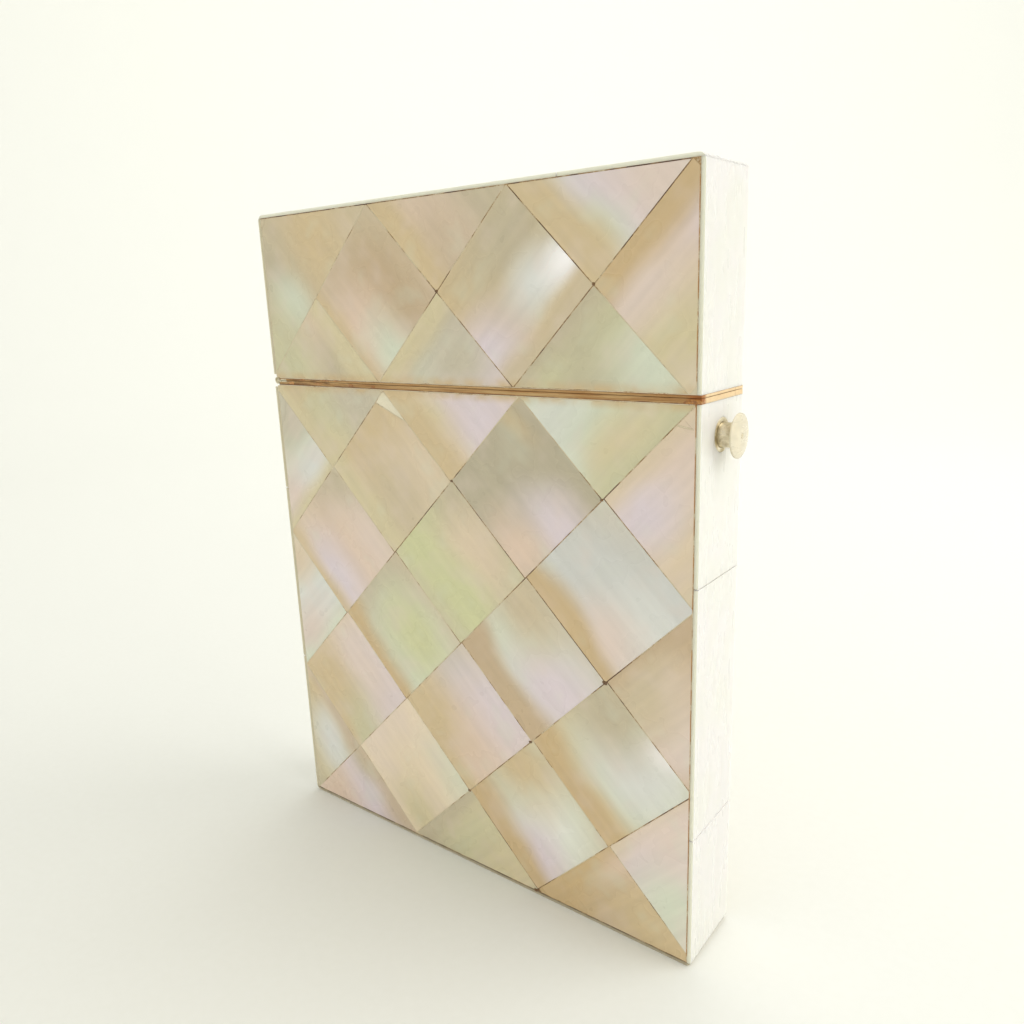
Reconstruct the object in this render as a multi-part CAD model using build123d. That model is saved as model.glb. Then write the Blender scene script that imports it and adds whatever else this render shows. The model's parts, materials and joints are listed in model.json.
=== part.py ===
from build123d import *
import os
from math import sqrt

# Mother-of-pearl card case: an upright wooden box faced with shell lozenges, with a short lid
# hinged on the left narrow side and a push-button catch in the right narrow side.
# Millimetres. Origin at the middle of the base, +X towards the button, +Y towards the back, +Z up.

os.makedirs("parts", exist_ok=True)

# ---- Driving dimensions ----
LOZENGE = 25.0            # diagonal of one shell lozenge, which stands on its point
COLUMNS = 3               # lozenges across either face
BODY_ROWS = 3             # lozenges up the body
LID_ROWS = 1              # lozenges up the lid
DEPTH = 11.6              # front to back
SIDE_STRIP = 0.6          # shell on the two narrow sides
END_STRIP = 0.5           # shell on the top and under the base
TILE = 0.9                # shell on the front and back
GLUE = 0.12               # glue line between neighbouring pieces of shell
EDGE_GLUE = 0.12          # glue line round each field of lozenges
BOARD = 1.3               # wooden front and back boards
HINGE_RAIL = 2.4          # wooden rail inside the hinge side
CATCH_RAIL = 3.6          # wooden rail inside the button side
END_RAIL = 2.0            # wooden rails inside the base and the top
BODY_RIM = 0.65           # rim strips round the mouth of the body
LID_RIM = 0.35            # rim strips round the mouth of the lid
LID_GAP = 0.05            # gap between the closed rims
CORNER_RADIUS = 0.9       # rounding of the four outer corners in front view
LINING = 0.35             # silk over card
LIP_HEIGHT = 1.2          # front and back linings stand this far out of the mouth
LIP_CLEARANCE = 0.1       # lip to the lid around it

# ---- How the lozenges were laid ----
ROW_START = 0.6           # how far row 0 of the body is pushed along its slope
ROW_CREEP = 0.3           # each next slanting row is pushed this much further
LID_SHIFT = -0.9          # the lid's lozenges sit this far to the left
SMALLEST_PIECE = 0.6      # mm2: anything smaller is left to the glue
WHOLE_SHARE = 0.9         # a lozenge with this much of its area left counts as whole
UNCUT_LID_ROW = -2        # the lid's corner row, laid as one large triangle
# Slivers let in to mend a lozenge beside its top corner, by the lozenge's (row, place): how far
# from the corner a sliver starts, how far it runs down the rising joint, and how far across it.
SLIVERS = {(-3, 1): (0.0, 2.4, 6.0), (-1, 3): (2.6, 1.1, 1.6)}

# ---- Strip joints ----
RIGHT_JOINTS = [19.3, 53.5]        # heights of the butt joints up the button side
LEFT_JOINTS = [27.0, 58.0]         # and up the hinge side
END_JOINTS = [19.1]                # places of the butt joints along the top and the base

# ---- Hinge ----
BARREL_RADIUS = 0.58
PIN_RADIUS = 0.30
PIN_CLEARANCE = 0.04
COVE_RADIUS = 0.80        # room round the barrel
SIDE_RELIEF = 1.0         # shell cut back above and below the barrel
KNUCKLES = 5
KNUCKLE_GAP = 0.06
HINGE_END = 0.1           # barrel stops this far inside the front and back
LEAF = 0.2
LEAF_WEB_START = 0.42     # where a knuckle's web leaves the tube wall
LEAF_PIN_RADIUS = 0.22
LEAF_PIN_HEAD = 0.40
LEAF_PIN_LENGTH = 2.0
LEAF_PIN_Y = [-2.6, 0.0, 2.6]

# ---- Catch ----
BUTTON_Z = 71.3
BUTTON_RADIUS = 2.7
BUTTON_DISC = 0.6         # thickness at its middle
BUTTON_EDGE = 0.25        # thickness at its rim
DISC_PIN_RADIUS = 0.25    # stem's end, which passes through the disc
BUTTON_STAND = 2.5        # disc's outer face from the side of the case
BUTTON_TRAVEL = 0.8
STEM_RADIUS = 1.5
TENON_RADIUS = 0.45
STEM_CLEARANCE = 0.05
SEAT_GAP = 0.02           # stem shoulder and head to the spring between them
STEM_HEAD_RADIUS = 0.9
STEM_HEAD = 0.23
PIN_HEAD_RADIUS = 0.32
PIN_HEAD = 0.06
BUSH_RADIUS = 2.1
SPRING_THICKNESS = 0.3
SPRING_WIDTH = 4.0
SPRING_BOTTOM = 44.0
SPRING_TOP = 79.3
SPRING_ROOM = 0.5         # left behind the spring when the button is right in
GROOVE_WIDTH = 4.8
GROOVE_BOTTOM = 43.0
RIVET_Z = [46.0, 50.0]
RIVET_RADIUS = 0.45
RIVET_HEAD_RADIUS = 0.85
RIVET_HEAD = 0.3
RIVET_LENGTH = 1.7
NOSE_BOTTOM = 77.4
NOSE_LAND = 0.3           # upright part of the nose before it slopes back
NOSE_TOP = 79.0
NOSE_REACH = 0.7
PLATE = 0.4
PLATE_CLEARANCE = 0.15    # spring to the lid's catch plate
PLATE_BOTTOM = 76.35
PLATE_TOP = 81.0
PLATE_HALF_WIDTH = 3.2
WINDOW_BOTTOM = 77.3
WINDOW_TOP = 79.1
WINDOW_HALF_WIDTH = 2.2
HOUSING_TOP = 81.3        # top of the recess in the lid's catch rail
POCKET_DEPTH = 0.4        # behind the window
POCKET_MARGIN = 0.1
PLATE_PIN_Y = [-2.0, 2.0]
PLATE_PIN_Z = 80.1
PLATE_PIN_RADIUS = 0.25
PLATE_PIN_LENGTH = 1.5

# ---- Levels and faces worked out from them ----
FIELD = COLUMNS * LOZENGE / 2                    # half width of the lozenge field
SIDE = FIELD + SIDE_STRIP                        # half width of the case
FACE = DEPTH / 2                                 # half depth of the case
BOARD_FACE = FACE - TILE
CAVITY = BOARD_FACE - BOARD                      # half depth of the space inside
HINGE_WALL = -FIELD + HINGE_RAIL                 # inner faces of the rails
CATCH_WALL = FIELD - CATCH_RAIL
BODY_BOTTOM = END_STRIP
BODY_TOP = BODY_BOTTOM + BODY_ROWS * LOZENGE
MOUTH = BODY_TOP + BODY_RIM
LID_MOUTH = MOUTH + LID_GAP
LID_BOTTOM = LID_MOUTH + LID_RIM
LID_TOP = LID_BOTTOM + LID_ROWS * LOZENGE
HEIGHT = LID_TOP + END_STRIP
HINGE_X = -FIELD
HINGE_Z = MOUTH + LID_GAP / 2
LEAF_PIN_X = HINGE_X + (COVE_RADIUS + HINGE_RAIL) / 2
GROOVE_FLOOR = CATCH_WALL + SPRING_THICKNESS + BUTTON_TRAVEL + SPRING_ROOM
SPRING_BACK = GROOVE_FLOOR - SPRING_THICKNESS
PLATE_FACE = GROOVE_FLOOR + PLATE_CLEARANCE
PLATE_BACK = PLATE_FACE + PLATE
LOZENGE_SIDE = LOZENGE / sqrt(2)


def write(name, shapes):
    """Writes one node: a shape, or a group of separate solids."""
    shape = Compound(children=shapes) if isinstance(shapes, list) else shapes
    export_step(shape, f"parts/{name}.step")


def block(x, y, z):
    """A box between two places along each axis."""
    size = [high - low for low, high in (x, y, z)]
    middle = [(low + high) / 2 for low, high in (x, y, z)]
    return Pos(*middle) * Box(*size)


def rod_x(radius, start, end, y, z):
    """A round bar along X."""
    return Pos((start + end) / 2, y, z) * Rot(0, 90, 0) * Cylinder(radius, end - start)


def rod_y(radius, start, end, x, z):
    """A round bar along Y."""
    return Pos(x, (start + end) / 2, z) * Rot(90, 0, 0) * Cylinder(radius, end - start)


def turned_x(profile, z):
    """A turned piece on an axis along X, from (place along X, radius) points."""
    outline = Polyline(*[(x, 0, radius) for x, radius in profile], close=True)
    return Pos(0, 0, z) * revolve(make_face(outline), Axis.X)


# Room for the hinge, through the whole depth: a round cove, and the shell outside it cut back.
hinge_room = rod_y(COVE_RADIUS, -DEPTH, DEPTH, HINGE_X, HINGE_Z) + block(
    (-2 * SIDE, HINGE_X), (-DEPTH, DEPTH), (HINGE_Z - SIDE_RELIEF, HINGE_Z + SIDE_RELIEF)
)

# The case's front outline with its rounded corners, through the whole depth.
outline_prism = Pos(0, 0, HEIGHT / 2) * Rot(90, 0, 0) * extrude(
    RectangleRounded(2 * SIDE, HEIGHT, CORNER_RADIUS), amount=DEPTH, both=True
)


# ---- Shell lozenges ----
def slope(along, across):
    """A step on the face, from its lengths along the rising and the falling joints."""
    return Vector((along + across) / sqrt(2), (along - across) / sqrt(2))


def split_sliver(lozenge, corner, start, down, over):
    """Cuts a three-cornered sliver out of a lozenge, and returns what is left of it and the sliver."""
    tip = corner + slope(-start, 0)
    sliver = make_face(Polyline(tip, tip + slope(-down, 0), tip + slope(0, over), close=True))
    down_room, over_room = down + 2 * GLUE, over + 2 * GLUE
    room = make_face(Polyline(tip, tip + slope(-down_room, 0), tip + slope(0, over_room), close=True))
    return (lozenge - room).faces() + (lozenge & sliver).faces()


def lozenge_faces(bottom, top, shift, row_push, uncut_row=None, slivers={}):
    """The flat outlines of one face's lozenges, drawn with X to the right and Z upwards.

    Slanting rows run up to the right. Row 0 lies just below the middle lozenge corner, and
    row_push says how far each row is pushed along its own slope.
    """
    panel = Pos(0, (bottom + top) / 2) * Rectangle(
        2 * FIELD - 2 * EDGE_GLUE, top - bottom - 2 * EDGE_GLUE
    )
    reach = COLUMNS + BODY_ROWS
    found = []
    for row in range(-reach, reach):
        across = (row + 0.5) * LOZENGE_SIDE
        span = 2 * reach if row == uncut_row else 1
        for place in range(-reach, reach, span):
            along = (place + span / 2) * LOZENGE_SIDE + row_push(row)
            centre = Vector(shift, bottom + LOZENGE / 2) + slope(along, across)
            square = Rectangle(span * LOZENGE_SIDE - GLUE, LOZENGE_SIDE - GLUE)
            cut = panel & (Pos(centre.X, centre.Y) * Rot(0, 0, 45) * square)
            kept = [face for face in cut.faces() if face.area > SMALLEST_PIECE] if cut else []
            if (row, place) in slivers:
                corner = centre + slope(LOZENGE_SIDE / 2, -LOZENGE_SIDE / 2)
                kept = split_sliver(kept[0], corner, *slivers[(row, place)])
            found += kept
    return found


def lay_lozenges(faces, back):
    """Gives the outlines their thickness, on the front or turned round onto the back."""
    laying_plane = Plane(origin=(0, -BOARD_FACE, 0), x_dir=(1, 0, 0), z_dir=(0, -1, 0))
    turn = Rot(0, 0, 180) if back else Rot(0, 0, 0)
    solids = []
    for face in faces:
        tile = turn * extrude(laying_plane * face, amount=TILE)
        trimmed = tile - hinge_room
        solids += trimmed.solids()
    return solids


def write_field(name, faces, back):
    """Writes a face's lozenges as two nodes: the whole ones, and the cut ones and slivers."""
    whole_area = WHOLE_SHARE * LOZENGE_SIDE**2
    whole = [face for face in faces if face.area > whole_area and len(face.edges()) > 3]
    part = [face for face in faces if face not in whole]
    write(f"{name}_lozenges", lay_lozenges(whole, back))
    write(f"{name}_part_lozenges", lay_lozenges(part, back))


def body_push(row):
    return ROW_START + ROW_CREEP * row


def lid_push(row):
    return 0.0


lid_faces = lozenge_faces(LID_BOTTOM, LID_TOP, LID_SHIFT, lid_push, UNCUT_LID_ROW)
for side_name, back, slivers in (("front", False, SLIVERS), ("back", True, {})):
    body_faces = lozenge_faces(BODY_BOTTOM, BODY_TOP, 0.0, body_push, slivers=slivers)
    write_field(f"body_{side_name}", body_faces, back)
    write_field(f"lid_{side_name}", lid_faces, back)


# ---- Shell strips ----
def strip_lengths(start, end, joints):
    """Splits a run of strip at its butt joints, with a glue line at each."""
    stops = [joint for joint in joints if start < joint < end]
    starts = [start] + [stop + GLUE / 2 for stop in stops]
    ends = [stop - GLUE / 2 for stop in stops] + [end]
    return list(zip(starts, ends))


def side_strips(x, start, end, joints):
    """Shell strips up one narrow side."""
    runs = [block(x, (-FACE, FACE), z) for z in strip_lengths(start, end, joints)]
    return [(run & outline_prism) - hinge_room for run in runs]


def end_strips(z):
    """Shell strips along the top or the base, which cover the ends of the side strips."""
    runs = [block(x, (-FACE, FACE), z) for x in strip_lengths(-SIDE, SIDE, END_JOINTS)]
    return [run & outline_prism for run in runs]


bush_hole = rod_x(BUSH_RADIUS, CATCH_WALL, SIDE + SIDE_STRIP, 0, BUTTON_Z)
left_x = (-SIDE, -FIELD)
right_x = (FIELD, SIDE)
write("body_left_strips", side_strips(left_x, BODY_BOTTOM, BODY_TOP, LEFT_JOINTS))
body_right = side_strips(right_x, BODY_BOTTOM, BODY_TOP, RIGHT_JOINTS)
write("body_right_strips", body_right[:-1] + [body_right[-1] - bush_hole])
write("base_strips", end_strips((0, BODY_BOTTOM)))
write("lid_left_strip", side_strips(left_x, LID_BOTTOM, LID_TOP, [])[0])
write("lid_right_strip", side_strips(right_x, LID_BOTTOM, LID_TOP, [])[0])
write("top_strips", end_strips((LID_TOP, HEIGHT)))


# ---- Wooden carcass ----
catch_groove = block(
    (CATCH_WALL, GROOVE_FLOOR), (-GROOVE_WIDTH / 2, GROOVE_WIDTH / 2), (GROOVE_BOTTOM, MOUTH)
)
rivet_holes = [
    rod_x(RIVET_RADIUS, GROOVE_FLOOR, SPRING_BACK + RIVET_LENGTH, 0, z) for z in RIVET_Z
]
leaf_pin_holes = [
    Pos(LEAF_PIN_X, y, HINGE_Z) * Cylinder(LEAF_PIN_RADIUS, 2 * LEAF_PIN_LENGTH + LID_GAP)
    for y in LEAF_PIN_Y
]
plate_housing = block((CATCH_WALL, PLATE_BACK), (-CAVITY, CAVITY), (LID_MOUTH, HOUSING_TOP))
nose_pocket = block(
    (PLATE_BACK, PLATE_BACK + POCKET_DEPTH),
    (-WINDOW_HALF_WIDTH - POCKET_MARGIN, WINDOW_HALF_WIDTH + POCKET_MARGIN),
    (WINDOW_BOTTOM - POCKET_MARGIN, WINDOW_TOP + POCKET_MARGIN),
)
plate_pin_holes = [
    rod_x(PLATE_PIN_RADIUS, PLATE_FACE, PLATE_FACE + PLATE_PIN_LENGTH, y, PLATE_PIN_Z)
    for y in PLATE_PIN_Y
]


def carcass(name, bottom, top, end_name, end_z):
    """The two boards, hinge rail and end rail of the body or of the lid."""
    between_z = (bottom, top)
    write(f"{name}_front_board", block((-FIELD, FIELD), (-BOARD_FACE, -CAVITY), between_z) - hinge_room)
    write(f"{name}_back_board", block((-FIELD, FIELD), (CAVITY, BOARD_FACE), between_z) - hinge_room)
    rail = block((-FIELD, HINGE_WALL), (-CAVITY, CAVITY), between_z) - hinge_room
    write(f"{name}_hinge_rail", rail - leaf_pin_holes)
    write(end_name, block((HINGE_WALL, CATCH_WALL), (-CAVITY, CAVITY), end_z))


carcass("body", BODY_BOTTOM, BODY_TOP, "base_rail", (BODY_BOTTOM, BODY_BOTTOM + END_RAIL))
carcass("lid", LID_BOTTOM, LID_TOP, "top_rail", (LID_TOP - END_RAIL, LID_TOP))

body_catch_rail = block((CATCH_WALL, FIELD), (-CAVITY, CAVITY), (BODY_BOTTOM, BODY_TOP))
write("body_catch_rail", body_catch_rail - catch_groove - bush_hole - rivet_holes)
lid_catch_rail = block((CATCH_WALL, FIELD), (-CAVITY, CAVITY), (LID_BOTTOM, LID_TOP))
write("lid_catch_rail", lid_catch_rail - plate_housing - nose_pocket - plate_pin_holes)


# ---- Rim strips ----
def leaf_seat(z):
    """The shallow recess that a hinge leaf lies in."""
    return block((HINGE_X, HINGE_WALL), (-FACE, FACE), z)


def rim(name, z, seat, catch_cut):
    """Four strips round a mouth: long ones on the front and back, short ones between them."""
    cut = hinge_room + seat
    write(f"{name}_front_rim", block((-SIDE, SIDE), (-FACE, -CAVITY), z) - cut)
    write(f"{name}_back_rim", block((-SIDE, SIDE), (CAVITY, FACE), z) - cut)
    hinge_strip = block((-SIDE, HINGE_WALL), (-CAVITY, CAVITY), z) - cut
    write(f"{name}_hinge_rim", hinge_strip - leaf_pin_holes)
    write(f"{name}_catch_rim", block((CATCH_WALL, SIDE), (-CAVITY, CAVITY), z) - catch_cut)


body_leaf_z = (MOUTH - LEAF, MOUTH)
lid_leaf_z = (LID_MOUTH, LID_MOUTH + LEAF)
rim("body", (BODY_TOP, MOUTH), leaf_seat(body_leaf_z), catch_groove)
rim("lid", (LID_MOUTH, LID_BOTTOM), leaf_seat(lid_leaf_z), plate_housing)


# ---- Linings ----
def box_linings(name, bottom, top, side_bottom, side_top, end_name, end_z):
    """Silk-covered card on the two wide walls, the two narrow walls and the end."""
    panel = CAVITY - LINING
    lip = LIP_HEIGHT if name == "body" else 0
    for place, sign in (("front", -1), ("back", 1)):
        wall = sorted((sign * panel, sign * CAVITY))
        lining = block((HINGE_WALL, CATCH_WALL), wall, (bottom, top))
        if lip:
            lip_y = sorted((sign * panel, sign * (CAVITY - LIP_CLEARANCE)))
            lip_x = (HINGE_WALL + 2 * LINING, CATCH_WALL - 2 * LINING)
            lining += block(lip_x, lip_y, (top, top + lip))
        write(f"{name}_{place}_lining", lining)
    narrow_z = (side_bottom, side_top)
    write(f"{name}_hinge_lining", block((HINGE_WALL, HINGE_WALL + LINING), (-panel, panel), narrow_z))
    write(f"{name}_catch_lining", catch_lining(panel, narrow_z, name))
    write(end_name, block((HINGE_WALL, CATCH_WALL), (-CAVITY, CAVITY), end_z))


def catch_lining(panel, z, name):
    """The button side's lining. In the lid it stops short of the catch plate's recess."""
    low, high = z
    start = HOUSING_TOP if name == "lid" else low
    return block((CATCH_WALL - LINING, CATCH_WALL), (-panel, panel), (start, high))


body_floor = BODY_BOTTOM + END_RAIL
lid_ceiling = LID_TOP - END_RAIL
lip_room = MOUTH + LIP_HEIGHT + 2 * LIP_CLEARANCE
box_linings(
    "body", body_floor + LINING, MOUTH, body_floor + LINING, MOUTH,
    "base_lining", (body_floor, body_floor + LINING),
)
box_linings(
    "lid", lip_room, lid_ceiling - LINING, LID_BOTTOM, lid_ceiling - LINING,
    "top_lining", (lid_ceiling - LINING, lid_ceiling),
)


# ---- Hinge ----
def hinge_leaf(turns, leaf_z):
    """A leaf with its knuckles: turns lists which knuckles along the barrel are its own."""
    reach = FACE - HINGE_END
    pitch = (2 * reach + KNUCKLE_GAP) / KNUCKLES
    leaf = block((HINGE_X + COVE_RADIUS, HINGE_WALL), (-reach, reach), leaf_z)
    for turn in turns:
        start = -reach + turn * pitch
        end = start + pitch - KNUCKLE_GAP
        leaf += rod_y(BARREL_RADIUS, start, end, HINGE_X, HINGE_Z)
        leaf += block((HINGE_X + LEAF_WEB_START, HINGE_X + COVE_RADIUS), (start, end), leaf_z)
    return leaf - rod_y(PIN_RADIUS + PIN_CLEARANCE, -DEPTH, DEPTH, HINGE_X, HINGE_Z)


def leaf_pins(face_z, down):
    """Countersunk pins through a leaf into the rail behind it."""
    head_height = LEAF_PIN_HEAD - LEAF_PIN_RADIUS
    shank = Pos(0, 0, -LEAF_PIN_LENGTH / 2) * Cylinder(LEAF_PIN_RADIUS, LEAF_PIN_LENGTH)
    head = Pos(0, 0, -head_height / 2) * Cone(LEAF_PIN_RADIUS, LEAF_PIN_HEAD, head_height)
    pin = shank + head
    upright = pin if down else Rot(180, 0, 0) * pin
    return [Pos(LEAF_PIN_X, y, face_z) * upright for y in LEAF_PIN_Y]


body_pins = leaf_pins(MOUTH, True)
lid_pins = leaf_pins(LID_MOUTH, False)
write("hinge_body_leaf", hinge_leaf(range(0, KNUCKLES, 2), body_leaf_z) - body_pins)
write("hinge_lid_leaf", hinge_leaf(range(1, KNUCKLES, 2), lid_leaf_z) - lid_pins)
write("hinge_pin", rod_y(PIN_RADIUS, -FACE + HINGE_END, FACE - HINGE_END, HINGE_X, HINGE_Z))
write("hinge_body_pins", body_pins)
write("hinge_lid_pins", lid_pins)


# ---- Catch ----
spring = block(
    (SPRING_BACK, GROOVE_FLOOR), (-SPRING_WIDTH / 2, SPRING_WIDTH / 2), (SPRING_BOTTOM, SPRING_TOP)
)
stem_hole = rod_x(
    TENON_RADIUS + STEM_CLEARANCE, SPRING_BACK - SPRING_THICKNESS, FIELD, 0, BUTTON_Z
)
spring_rivet_holes = [rod_x(RIVET_RADIUS, SPRING_BACK, GROOVE_FLOOR, 0, z) for z in RIVET_Z]
write("catch_spring", spring - stem_hole - spring_rivet_holes)

rivet_profile = [
    (SPRING_BACK - RIVET_HEAD, 0),
    (SPRING_BACK - RIVET_HEAD, RIVET_HEAD_RADIUS * 0.5),
    (SPRING_BACK - RIVET_HEAD * 0.5, RIVET_HEAD_RADIUS * 0.9),
    (SPRING_BACK, RIVET_HEAD_RADIUS),
    (SPRING_BACK, RIVET_RADIUS),
    (SPRING_BACK + RIVET_LENGTH, RIVET_RADIUS),
    (SPRING_BACK + RIVET_LENGTH, 0),
]
write("spring_rivets", [turned_x(rivet_profile, z) for z in RIVET_Z])

nose_outline = Polyline(
    (GROOVE_FLOOR, 0, NOSE_BOTTOM),
    (GROOVE_FLOOR + NOSE_REACH, 0, NOSE_BOTTOM),
    (GROOVE_FLOOR + NOSE_REACH, 0, NOSE_BOTTOM + NOSE_LAND),
    (GROOVE_FLOOR, 0, NOSE_TOP),
    close=True,
)
write("catch_nose", extrude(make_face(nose_outline), amount=SPRING_WIDTH / 2, both=True))

plate = block(
    (PLATE_FACE, PLATE_BACK), (-PLATE_HALF_WIDTH, PLATE_HALF_WIDTH), (PLATE_BOTTOM, PLATE_TOP)
)
window = block(
    (PLATE_FACE, PLATE_BACK), (-WINDOW_HALF_WIDTH, WINDOW_HALF_WIDTH), (WINDOW_BOTTOM, WINDOW_TOP)
)
write("catch_plate", plate - window - plate_pin_holes)
write("catch_plate_pins", plate_pin_holes)

bush = rod_x(BUSH_RADIUS, GROOVE_FLOOR, SIDE, 0, BUTTON_Z)
write(
    "button_bush",
    bush - rod_x(STEM_RADIUS + STEM_CLEARANCE, CATCH_WALL, SIDE + SIDE_STRIP, 0, BUTTON_Z),
)

disc_face = SIDE + BUTTON_STAND
disc_back = disc_face - BUTTON_DISC
stem_profile = [
    (SPRING_BACK - SEAT_GAP - STEM_HEAD, 0),
    (SPRING_BACK - SEAT_GAP - STEM_HEAD, STEM_HEAD_RADIUS),
    (SPRING_BACK - SEAT_GAP, STEM_HEAD_RADIUS),
    (SPRING_BACK - SEAT_GAP, TENON_RADIUS),
    (GROOVE_FLOOR + SEAT_GAP, TENON_RADIUS),
    (GROOVE_FLOOR + SEAT_GAP, STEM_RADIUS),
    (disc_back, STEM_RADIUS),
    (disc_back, DISC_PIN_RADIUS),
    (disc_face, DISC_PIN_RADIUS),
    (disc_face, PIN_HEAD_RADIUS),
    (disc_face + PIN_HEAD * 0.6, PIN_HEAD_RADIUS * 0.8),
    (disc_face + PIN_HEAD, PIN_HEAD_RADIUS * 0.3),
    (disc_face + PIN_HEAD, 0),
]
write("button_stem", turned_x(stem_profile, BUTTON_Z))

disc_outline = (
    Line((disc_back, 0, DISC_PIN_RADIUS), (disc_back, 0, BUTTON_RADIUS))
    + Line((disc_back, 0, BUTTON_RADIUS), (disc_back + BUTTON_EDGE, 0, BUTTON_RADIUS))
    + ThreePointArc(
        (disc_back + BUTTON_EDGE, 0, BUTTON_RADIUS),
        (disc_face - 0.25 * (BUTTON_DISC - BUTTON_EDGE), 0, BUTTON_RADIUS * 0.5),
        (disc_face, 0, DISC_PIN_RADIUS),
    )
    + Line((disc_face, 0, DISC_PIN_RADIUS), (disc_back, 0, DISC_PIN_RADIUS))
)
write("button_disc", Pos(0, 0, BUTTON_Z) * revolve(make_face(disc_outline), Axis.X))
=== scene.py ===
import json
import math
import random

import bmesh
import bpy
from mathutils import Matrix, Vector, noise


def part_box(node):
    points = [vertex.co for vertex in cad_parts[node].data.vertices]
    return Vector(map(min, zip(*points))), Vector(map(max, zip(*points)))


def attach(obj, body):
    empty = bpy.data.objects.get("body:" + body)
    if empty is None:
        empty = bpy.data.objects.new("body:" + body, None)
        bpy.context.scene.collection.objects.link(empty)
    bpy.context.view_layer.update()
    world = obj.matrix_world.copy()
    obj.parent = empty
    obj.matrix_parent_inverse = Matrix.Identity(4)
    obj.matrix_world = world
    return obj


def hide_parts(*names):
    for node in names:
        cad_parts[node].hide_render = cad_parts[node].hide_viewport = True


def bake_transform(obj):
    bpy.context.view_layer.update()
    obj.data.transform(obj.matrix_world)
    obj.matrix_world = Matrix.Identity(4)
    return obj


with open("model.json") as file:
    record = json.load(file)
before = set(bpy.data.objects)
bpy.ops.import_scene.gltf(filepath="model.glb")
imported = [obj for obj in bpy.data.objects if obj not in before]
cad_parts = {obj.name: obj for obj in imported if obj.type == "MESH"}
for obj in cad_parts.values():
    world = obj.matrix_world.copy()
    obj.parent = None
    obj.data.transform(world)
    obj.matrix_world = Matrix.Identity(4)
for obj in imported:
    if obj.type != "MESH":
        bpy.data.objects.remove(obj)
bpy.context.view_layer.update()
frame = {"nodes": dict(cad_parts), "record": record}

# A card case veneered with lozenges of mother of pearl: its lid turns on a hinge in the left narrow
# side, and a button in the right one pushes the catch.

MM = 0.001
nodes = frame["nodes"]
bodies = frame["record"]["behaviour"]["bodies"]

# ---- Places read from the frame ----
BASE_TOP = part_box("base_strips")[1].z
BODY_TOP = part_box("body_front_board")[1].z
LID_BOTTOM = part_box("lid_front_board")[0].z
LID_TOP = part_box("lid_front_board")[1].z
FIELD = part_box("body_front_board")[1].x         # half the width of the field of lozenges
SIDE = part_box("body_right_strips")[1].x         # the right narrow side
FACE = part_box("base_strips")[1].y               # the face of the back; the front's is at -FACE
SEAM_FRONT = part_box("body_front_rim")[0].y      # the front of the rims round the mouth
LOZENGE = (BODY_TOP - BASE_TOP) / 3             # a lozenge from corner to corner
HALF = LOZENGE / 2
LOZENGE_SIDE = LOZENGE / math.sqrt(2)

# ---- Sizes that only the looks need ----
LID_SHIFT = -0.9 * MM           # the lid's lozenges lie a little to the left of the body's
TILE_EDGE = 0.04 * MM           # rounding of a lozenge's polished edge
WOOD_EDGE = 0.05 * MM
STRIP_EDGE = 0.06 * MM
METAL_EDGE = 0.04 * MM
SPRING_EDGE = 0.03 * MM
SILK_EDGE = 0.09 * MM
SLIVER = 5.0 * MM               # a piece of shell that reaches less than this is a sliver
GLUE_SUNK = 0.015 * MM          # glue below the face of the shell
GLUE_DEPTH = 0.4 * MM
SPECK_PROUD = 0.05 * MM         # how far a drop of glue stands out of a joint
SEAM_PROUD = 0.07 * MM          # and out of the seam
HINGE_ROOM = 0.8 * MM           # radius round the hinge that holds no glue
FINE_BUMP = 0.02 * MM           # height of the bumps in glue, wood and silk
SHELL_BUMP = 0.0015 * MM        # height of the lines in polished shell
PATCH_SPREAD = 0.85             # how far a patch of size 10 reaches, in lozenges

WELD = 0.002 * MM               # points closer than this are one point
CUT_SNAP = 0.001 * MM           # a cut passes through a point closer than this
FLAT = math.radians(1)          # faces that meet at less than this are one face
SHARP = math.radians(35)        # an edge that turns more than this is rounded


# ---- Small tools ----
def linear(red, green, blue):
    """A colour given by its 0-255 screen values, as the linear values that Blender works in."""
    def one(value):
        value /= 255
        return value / 12.92 if value <= 0.04045 else ((value + 0.055) / 1.055) ** 2.4
    return (one(red), one(green), one(blue), 1.0)


def body_of(node):
    """The body that a CAD node belongs to."""
    return next(body for body, members in bodies.items() if node in members)


def new_piece(name, bm):
    """A finished bmesh as an object of the scene."""
    bm.normal_update()
    mesh = bpy.data.meshes.new(name)
    bm.to_mesh(mesh)
    bm.free()
    piece = bpy.data.objects.new(name, mesh)
    bpy.context.scene.collection.objects.link(piece)
    return piece


def stand_for(piece, node, material):
    """Puts a new piece in the place of a CAD node."""
    piece.data.materials.append(material)
    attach(piece, body_of(node))
    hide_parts(node)


def welded(node):
    """A CAD node's shape as a clean bmesh: welded, with each flat face in one piece."""
    bm = bmesh.new()
    bm.from_mesh(nodes[node].data)
    bmesh.ops.remove_doubles(bm, verts=bm.verts, dist=WELD)
    bmesh.ops.dissolve_limit(bm, angle_limit=FLAT, verts=bm.verts, edges=bm.edges)
    return bm


def islands(bm):
    """The separate solids in a bmesh, each as a list of its vertices."""
    waiting = dict.fromkeys(bm.verts)
    found = []
    while waiting:
        to_visit = [next(iter(waiting))]
        waiting.pop(to_visit[0])
        island = []
        while to_visit:
            here = to_visit.pop()
            island.append(here)
            for edge in here.link_edges:
                there = edge.other_vert(here)
                if there in waiting:
                    waiting.pop(there)
                    to_visit.append(there)
        found.append(island)
    return found


def cut_at(bm, place, direction):
    """Cuts every face of a mesh where it crosses a plane."""
    everything = bm.verts[:] + bm.edges[:] + bm.faces[:]
    bmesh.ops.bisect_plane(bm, geom=everything, plane_co=place, plane_no=direction, dist=CUT_SNAP)


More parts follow.
